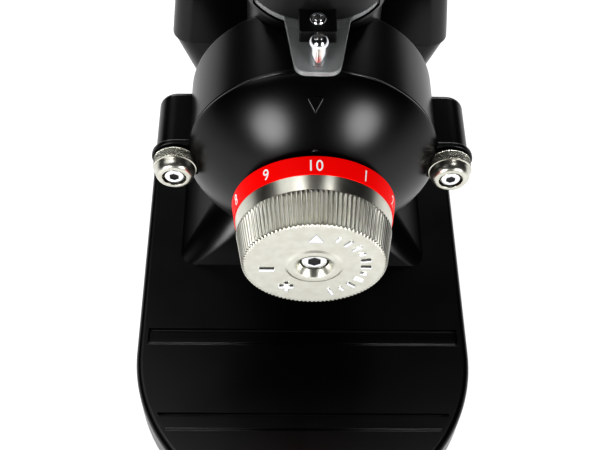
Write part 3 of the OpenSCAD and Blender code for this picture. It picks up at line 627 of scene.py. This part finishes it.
def dial_radius(y):
    """Radius of the dial's tapered side."""
    back = RING_HIGH.y
    return DIAL_BACK_R + (DIAL_FRONT_R - DIAL_BACK_R) * (back - y) / (back - DIAL_FACE)


def dial():
    """Fluted aluminium dial, hollow behind its face."""
    face = DIAL_FACE
    start = RING_LOW.y - 5.2
    back = RING_HIGH.y

    def groove_depth(y):
        """Depth of the flutes along the side, run out at the back."""
        if y > start + 0.05 or y < face - 0.01:
            return 0.0
        return 0.62 * min(1, (start + 0.05 - y) / 0.7)

    def shape(a, radius, y):
        """Cuts the flutes into the outer side."""
        if radius < 20.5:
            return radius
        depth = groove_depth(y)
        if depth <= 0:
            return radius
        phase = (a / TAU * FLUTES) % 1
        wave = 0.5 - 0.5 * math.cos(TAU * phase)
        return radius - depth * wave ** 1.6

    side = [(24.5, back), (24.5, RING_LOW.y), (dial_radius(RING_LOW.y) - 0.1, RING_LOW.y),
            (dial_radius(start) - 0.12, start + 0.25)]
    side += [(dial_radius(start) + 0.22, start - 0.05), (dial_radius(start) + 0.34, start - 0.35)]
    side += [(dial_radius(y) + 0.32, y) for y in np.linspace(start - 0.9, face + 0.9, 5)]
    side += [(dial_radius(face + 0.4) + 0.18, face + 0.4), (dial_radius(face) - 0.1, face + 0.1), (22.6, face)]
    front = rounded([(22.4, face, 0), (9.6, face, 0.8), (8.6, face - 0.55, 0.4), (7.0, face - 0.6, 0.4),
                     (6.15, face - 0.4, 0.25), (4.7, face + 1.7, 0.2), (4.6, -67.05, 0), (2.55, -67.05, 0),
                     (2.55, -64, 0), (5.02, -64, 0), (5.02, back, 0), (8.5, back, 0), (8.5, -68, 0), (21, -68, 0),
                     (21, back, 0)], 4)
    body = lathe("dial_body", side + front, at=(0, 0, AXIS_Z), segments=FLUTES * 12, closed=True, shape=shape)
    return place(body, "dial", "dial_aluminium", ["dial"], 28)


def ring():
    """Red band that carries the numbers."""
    back, front = RING_HIGH.y, RING_LOW.y
    profile = rounded([(24.55, back, 0), (DIAL_BACK_R, back, 0.35), (dial_radius(front) + 0.12, front, 0.12),
                       (24.55, front, 0)], 4)
    piece = lathe("number_ring", profile, at=(0, 0, AXIS_Z), segments=224, closed=True)
    return place(piece, "dial", "red_scale", ["scale_ring"])


def glyph_mesh(text):
    """A number as flat points and faces, one unit high, centred on x."""
    curve = bpy.data.curves.new("glyph", "FONT")
    curve.body = text
    curve.align_x = "CENTER"
    curve.offset = 0.012
    curve.space_character = 1.12
    curve.resolution_u = 5
    obj = bpy.data.objects.new("glyph", curve)
    bpy.context.scene.collection.objects.link(obj)
    graph = bpy.context.evaluated_depsgraph_get()
    mesh = bpy.data.meshes.new_from_object(obj.evaluated_get(graph))
    points = np.array([v.co for v in mesh.vertices])[:, :2]
    faces = [tuple(p.vertices) for p in mesh.polygons]
    bpy.data.objects.remove(obj)
    bpy.data.curves.remove(curve)
    points[:, 1] -= points[:, 1].min()
    points /= points[:, 1].max()
    points[:, 0] -= (points[:, 0].max() + points[:, 0].min()) / 2
    return points, faces, mesh


def numbers():
    """Numbers 1 to 10 printed round the ring, 10 at the top."""
    height, narrow = 3.9, 0.92
    front = RING_LOW.y + 1.2
    bm = bmesh.new()
    for value in range(1, 11):
        around = math.radians(36 * value)
        points, faces, mesh = glyph_mesh(str(value))
        bpy.data.meshes.remove(mesh)
        top, low = [], []
        for px, py in points:
            y = front + py * height
            angle = around + px * height * narrow / 27.0
            for group, grow in ((top, 0.05), (low, -0.15)):
                radius = dial_radius(y) + grow + 0.05
                group.append(bm.verts.new((radius * math.sin(angle) * MM, y * MM,
                                           (AXIS_Z + radius * math.cos(angle)) * MM)))
        used = {}
        for face in faces:
            bm.faces.new([top[i] for i in face])
            bm.faces.new([low[i] for i in reversed(face)])
            for i, j in zip(face, face[1:] + face[:1]):
                used[(i, j)] = used.get((i, j), 0) + 1
        for (i, j) in used:
            if (j, i) not in used:
                bm.faces.new((top[j], top[i], low[i], low[j]))
    bmesh.ops.recalc_face_normals(bm, faces=bm.faces)
    mesh = bpy.data.meshes.new("ring_numbers")
    bm.to_mesh(mesh)
    bm.free()
    obj = bpy.data.objects.new("ring_numbers", mesh)
    bpy.context.scene.collection.objects.link(obj)
    obj.data.materials.append(WHITE_INK)
    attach(obj, "dial")
    return obj


def face_marks():
    """Generic raised marks on the dial's face: an arc of ticks, a plus, a minus and an arrow."""
    solids = []

    def pad(points, name):
        """Adds one mark, from its outline on the face."""
        solids.append(prism(name, points, DIAL_FACE - 0.5, DIAL_FACE + 0.3, "Y"))

    def block(cx, cz, wide, tall, name):
        """Adds an upright rectangle about a point on the face."""
        pad([(cx - wide, cz - tall), (cx + wide, cz - tall),
             (cx + wide, cz + tall), (cx - wide, cz + tall)], name)

    for i in range(11):
        a = math.radians(24 + 13.5 * i)
        radial, across = Vector((math.sin(a), math.cos(a))), Vector((math.cos(a), -math.sin(a)))
        middle = 16.8 * radial
        tall = 1.9 if i % 3 else 1.2
        corners = rounded([(-0.62, -tall, 0.3), (0.62, -tall, 0.3), (0.62, tall, 0.3), (-0.62, tall, 0.3)], 3, True)
        pad([(middle.x + across.x * w + radial.x * h, AXIS_Z + middle.y + across.y * w + radial.y * h)
             for w, h in corners], "tick")
    bar, thick = 2.6, 0.85
    for angle, kind in ((215, "plus"), (262, "minus")):
        a = math.radians(angle)
        cx, cz = 15.6 * math.sin(a), AXIS_Z + 15.6 * math.cos(a)
        block(cx, cz, bar, thick, kind)
        if kind == "plus":
            block(cx, cz, thick, bar, kind)
    pad([(-2.6, AXIS_Z + 14.2), (2.6, AXIS_Z + 14.2), (0, AXIS_Z + 18.4)], "arrow")
    marks = solids[0]
    marks.name = "dial_marks"
    join(marks, *solids[1:])
    bevel(marks, 0.22, 3, 40)
    return place(marks, "dial", "bright_steel")


# ---------------------------------------------------------------- thumb screws

def knurl(count, depth, low, high):
    """Diamond knurl: two crossing sets of grooves between two ends."""
    def shape(a, radius, y):
        """Cuts both sets of grooves, run out at the ends."""
        if not low < y < high or radius < 6.9:
            return radius
        t = (y - low) / (high - low)
        one = abs(((a / TAU * count + 3.0 * t) % 1) - 0.5) * 2
        two = abs(((a / TAU * count - 3.0 * t) % 1) - 0.5) * 2
        fade = min(1, (y - low) / 0.25, (high - y) / 0.25)
        return radius - depth * fade * (1 - min(one, two)) ** 1.5
    return shape


def thumb_grip(side):
    """Knurled aluminium thumb nut with a rounded nose, from the CAD node's box."""
    name = "left" if side < 0 else "right"
    low, high = box_mm(f"{name}_grip")
    x = (low.x + high.x) / 2
    back, front = high.y, low.y
    radius = (high.x - low.x) / 2
    knurl_front = back - 4.1
    rows = list(np.linspace(knurl_front + 0.45, back - 0.45, 19))
    profile = [(2.05, back), (radius - 0.5, back), (radius - 0.15, back - 0.12)]
    profile += [(radius, y) for y in rows[::-1]]
    profile += [(radius - 0.15, knurl_front + 0.12), (radius - 0.6, knurl_front)]
    shoulder = arc(0, 0, 1, 0, 90, 8)
    profile += [(5.0 + 1.9 * cx, knurl_front - 0.25 - (knurl_front - front - 0.25) * cy) for cx, cy in shoulder]
    profile += rounded([(5.0, front, 0), (4.05, front, 0.25), (4.05, front + 4.4, 0),
                        (2.05, front + 4.4, 0)], 4)[1:]
    piece = lathe(f"{name}_thumb_grip", profile, at=(x, 0, AXIS_Z), segments=480, closed=True,
                  shape=knurl(46, 0.42, rows[0] - 0.1, rows[-1] + 0.1))
    return place(piece, f"{name}_thumb_screw", "dial_aluminium", [f"{name}_grip"], 40)


def hex_ring(x, z, across):
    """Corners of a hexagon about a point, from its width across the flats."""
    radius = across / 2 / math.cos(math.pi / 6)
    return [(x + radius * math.sin(TAU * i / 6), z + radius * math.cos(TAU * i / 6)) for i in range(6)]


def socket_screw(name, node, head_radius, shank_radius, head_length, key, body):
    """Socket-head screw along Y with a knurled head, and a black piece in its socket as painted shade, from the CAD
    node's box.
    """
    low, high = box_mm(node)
    x, z = (low.x + high.x) / 2, (low.z + high.z) / 2
    top = low.y
    seat = top + head_length

    def teeth(a, radius, y):
        """Cuts the straight knurl into the side of the head."""
        if radius < head_radius - 0.05 or y > seat - 0.4 or y < top + 0.5:
            return radius
        return radius - 0.12 * (0.5 + 0.5 * math.cos(36 * a))

    rows = list(np.linspace(top + 0.55, seat - 0.45, 4))
    profile = [(0, top), (head_radius - 0.45, top), (head_radius - 0.12, top + 0.12), (head_radius, top + 0.45)]
    profile += [(head_radius, y) for y in rows] + [(head_radius, seat - 0.1), (head_radius - 0.1, seat)]
    profile += [(shank_radius, seat), (shank_radius, high.y - 0.6), (shank_radius - 0.5, high.y), (0, high.y)]
    screw = lathe(name, profile, at=(x, 0, z), segments=216, shape=teeth)
    socket_end = top + head_length * 0.55
    socket = prism("socket", hex_ring(x, z, key), top - 1, socket_end, "Y")
    cut(screw, socket)
    bevel(screw, 0.08, 2, 50)
    # A black hexagon set inside the socket below its mouth: painted shade that stands in for the shadow in the
    # recess.
    floor = prism(f"{name}_socket", hex_ring(x, z, key - 0.1), top + head_length * 0.12,
                  socket_end + 0.02, "Y")
    place(floor, body, "rubber")
    return place(screw, body, "bright_steel", [node], 40)


# ---------------------------------------------------------------- gate

def gate():
    """Clear gate that slides under the hopper, and the pin that pulls it."""
    low, high = box_mm("gate_slide")
    half = 20.4
    tip = low.y
    root_x, root_y = 10.9, -10.2
    slot_radius, travel = 2.6, 30.3
    plate = arc(0, THROAT_Y, half, 0, 180, 48)
    front_corner = THROAT_Y - math.sqrt(THROAT_R ** 2 - half ** 2)
    plate += [(-half, front_corner)]
    start = math.degrees(math.atan2(front_corner - THROAT_Y, -half))
    end = math.degrees(math.atan2(root_y - THROAT_Y, -root_x))
    shoulder = arc(0, THROAT_Y, THROAT_R, start, end, 8)[1:]
    plate += shoulder
    tongue = [(-root_x, root_y, 0.0), (-6.9, tip, 4.6), (6.9, tip, 4.6), (root_x, root_y, 0.0)]
    plate += rounded(tongue, 7)[1:]
    plate += [(-x, y) for x, y in shoulder[:-1][::-1]]
    plate += [(half, front_corner)]
    piece = prism("gate_tongue", plate, low.z, high.z)
    slot = arc(0, CLAMP_Y + travel, slot_radius, 0, 180, 16) + arc(0, CLAMP_Y, slot_radius, 180, 360, 16)
    cut(piece, prism("slot", slot, low.z - 1, high.z + 1))
    cut(piece, tube("pin_hole", 1.5, low.z - 1, high.z + 1, "Z", (0, centre_mm("gate_knob").y, 0), 32))
    bevel(piece, 0.35, 3, 40)
    place(piece, "gate", "clear_plastic", ["gate_slide"])
    knob_low, knob_high = box_mm("gate_knob")
    top = knob_high.z
    ball, stem = 3.05, 1.49
    profile = rounded([(0, knob_low.z, 0), (2.4, knob_low.z, 0.3), (2.4, low.z, 0), (stem, low.z, 0),
                       (stem, high.z + 0.05, 0), (ball, high.z + 0.05, 0.3), (ball, top - ball, 0)], 4)
    profile += [(ball * math.cos(a), top - ball + ball * math.sin(a))
                for a in [math.radians(90 * i / 16) for i in range(1, 17)]]
    profile[-1] = (0, top)
    knob = lathe("gate_pin", profile, "Z", (0, centre_mm("gate_knob").y, 0), 72)
    place(knob, "gate", "bright_steel", ["gate_knob"], 40)


# ---------------------------------------------------------------- hopper

def pan_screw(name, node):
    """Domed cross-head screw along Z, from the CAD node's box."""
    low, high = box_mm(node)
    x, y = (low.x + high.x) / 2, (low.y + high.y) / 2
    head = (high.x - low.x) / 2
    seat = high.z - 2
    profile = [(0, low.z), (1.4, low.z + 0.1), (1.4, seat), (head - 0.15, seat), (head, seat + 0.15)]
    profile += [(head * math.cos(a), seat + 0.5 + 1.5 * math.sin(a)) for a in
                [math.radians(90 * i / 12) for i in range(13)]]
    profile[-1] = (0, high.z)
    screw = lathe(name, profile, "Z", (x, y, 0), 64)
    for wide, deep in ((1.5, 0.32), (0.32, 1.5)):
        cut(screw, prism("slot", [(x - wide, y - deep), (x + wide, y - deep), (x + wide, y + deep),
                                  (x - wide, y + deep)], high.z - 0.9, high.z + 1))
    bevel(screw, 0.08, 2, 50)
    return place(screw, "housing", "bright_steel", [node], 40)


def hopper():
    """Collar, clamp screw, smoked bean hopper and lid."""
    low, high = box_mm("hopper_neck")
    bottom, top = THROAT_TOP + 0.2, high.z
    collar_radius, seat_radius, bore_radius = 24.4, 21.7, 19.5
    profile = rounded([(bore_radius, bottom, 0), (collar_radius, bottom, 0.4), (collar_radius, top, 0.7),
                       (seat_radius, top, 0.2), (seat_radius, bottom + 3, 0), (bore_radius, bottom + 3, 0)], 5)
    neck = lathe("hopper_collar", profile, "Z", (0, THROAT_Y, 0), 160, closed=True)
    block = prism("clamp_block", rounded([(-6, -21.8, 0.8), (6, -21.8, 0.8), (6, -9, 0), (-6, -9, 0)], 4, True),
                  bottom, bottom + 5)
    bevel(block, 0.7, 4, 50)
    stem = tube("clamp_stem", 2.25, low.z, bottom + 1, "Z", (0, CLAMP_Y, 0), 40)
    cut(block, tube("bore_copy", 19.6, bottom - 1, bottom + 8, "Z", (0, THROAT_Y, 0), 160))
    join(neck, block, stem)
    place(neck, "housing", "black_plastic", ["hopper_neck"])

    pan_screw("clamp_screw", "hopper_screw")

    bowl_low, bowl_high = box_mm("hopper_bowl")
    wall, shoulder_radius, shoulder_z = 2.4, 56, 241
    radius = bowl_high.x
    outer = [(BOWL_FOOT_R, bowl_low.z, 0.3), (BOWL_FOOT_R, top + 0.3, 0), (collar_radius, top + 0.3, 0.5),
             (shoulder_radius, shoulder_z, 22), (radius, bowl_high.z - 3, 0), (radius, bowl_high.z, 0.6)]
    inner = [(radius - wall, bowl_high.z, 0.6), (shoulder_radius - wall, shoulder_z, 20),
             (BOWL_FOOT_R - wall, top + 0.3, 3), (BOWL_FOOT_R - wall, bowl_low.z, 0.3)]
    bowl = lathe("bean_hopper", rounded(outer + inner, 10, True), "Z", (0, THROAT_Y, 0), 192, closed=True)
    place(bowl, "housing", "smoked_plastic", ["hopper_bowl"])

    lid_low, lid_high = box_mm("hopper_lid")
    base = lid_low.z + 6
    edge = lid_high.x
    profile = rounded([(0, base, 0), (54.6, base, 0), (54.6, lid_low.z, 0.4), (56.8, lid_low.z, 0.4),
                       (56.8, base, 0), (edge, base, 0.8), (edge, base + 4, 1.6), (52, base + 4, 1.5),
                       (51, base + 6.9, 2.0),
                       (9, base + 6.9, 3), (8.4, lid_high.z - 8, 3), (13, lid_high.z - 5.5, 1.4),
                       (13, lid_high.z, 1.8), (0, lid_high.z, 0)], 7)
    lid = lathe("lid", profile, "Z", (0, THROAT_Y, 0), 192)
    place(lid, "lid", "black_plastic", ["hopper_lid"])


# ---------------------------------------------------------------- stage, light and camera

def stage():
    """A pale lit table, bright enough to show almost white."""
    size = 9000
    floor = new_object("floor", [(-size, -size, 0), (size, -size, 0), (size, size, 0), (-size, size, 0)],
                       [(0, 1, 2, 3)])
    mat, shader = material("floor_paper", (0.90, 0.90, 0.90), 0.7)
    mat.node_tree.links.new(tint(mat, noise(mat, 3.0), (0.49, 0.49, 0.49), (0.51, 0.51, 0.51)),
                            shader.inputs["Base Color"])
    shader.inputs["Emission Color"].default_value = (1, 1, 1, 1)
    shader.inputs["Emission Strength"].default_value = 0.5
    floor.data.materials.append(mat)


def area_light(name, at, target, width, power, height=0):
    """A soft light at a point in metres, aimed at another: a disk, or a strip if it has a height."""
    lamp = bpy.data.lights.new(name, "AREA")
    lamp.shape = "RECTANGLE" if height else "DISK"
    lamp.size = width
    if height:
        lamp.size_y = height
    lamp.energy = power
    obj = bpy.data.objects.new(name, lamp)
    obj.location = at
    obj.rotation_euler = (Vector(target) - Vector(at)).to_track_quat("-Z", "Y").to_euler()
    bpy.context.scene.collection.objects.link(obj)


def lights():
    """Two softboxes in front, two small ones and a canopy overhead, a strip behind, and a dark room."""
    dome = Vector((0, -0.04, 0.16))
    for name, way, distance, width, power in (
            ("front_left", (-0.54, -0.77, 0.345), 0.9, 0.42, 4.6),
            ("front_right", (0.60, -0.715, 0.36), 0.9, 0.40, 3.9),
            ("top_left", (-0.27, 0.20, 0.94), 1.2, 0.22, 0.9),
            ("top_right", (0.29, 0.20, 0.93), 1.2, 0.22, 0.9),
            ("canopy", (-0.50, 0.24, 0.83), 1.3, 1.0, 2.6)):
        area_light(name, dome + distance * Vector(way), dome, width, power)
    area_light("strip_behind", (0, 1.30, 0.66), dome, 1.7, 12, 0.14)
    world = bpy.data.worlds.new("studio")
    bpy.context.scene.world = world
    world.use_nodes = True
    background = world.node_tree.nodes["Background"]
    background.inputs["Color"].default_value = (0.9, 0.95, 1, 1)
    background.inputs["Strength"].default_value = 0.015
    bpy.context.scene.view_settings.view_transform = "Standard"
    bpy.context.scene.view_settings.look = "High Contrast"


def camera():
    """The photograph's viewpoint: steep, from the front, turned and rolled a little."""
    yaw, pitch, roll = math.radians(2.48), math.radians(55.34), math.radians(2.55)
    ahead = Vector((math.sin(yaw) * math.cos(pitch), math.cos(yaw) * math.cos(pitch), -math.sin(pitch)))
    right = Vector((math.cos(yaw), -math.sin(yaw), 0))
    up = right.cross(ahead)
    across = math.cos(roll) * right + math.sin(roll) * up
    upward = -math.sin(roll) * right + math.cos(roll) * up
    data = bpy.data.cameras.new("camera")
    data.lens = 60.4
    data.sensor_width = 36
    obj = bpy.data.objects.new("camera", data)
    basis = Matrix((across, upward, -ahead)).transposed()
    obj.matrix_world = Matrix.Translation(Vector((-12.8, -247.7, 417.3)) * MM) @ basis.to_4x4()
    bpy.context.scene.collection.objects.link(obj)
    bpy.context.scene.camera = obj


camera()
stage()
lights()
body_casting()
upper_shell()
chamber()
front_cover()
dial()
ring()
numbers()
face_marks()
for screw_side in (-1, 1):
    thumb_grip(screw_side)
for screw_name in ("left", "right"):
    socket_screw(f"{screw_name}_socket_screw", f"{screw_name}_cap_screw", 3.4, 2.0, 4.0, 3.0,
                 f"{screw_name}_thumb_screw")
socket_screw("dial_centre_screw", "dial_screw", 4.25, 2.5, 5.0, 4.0, "dial")
gate()
hopper()
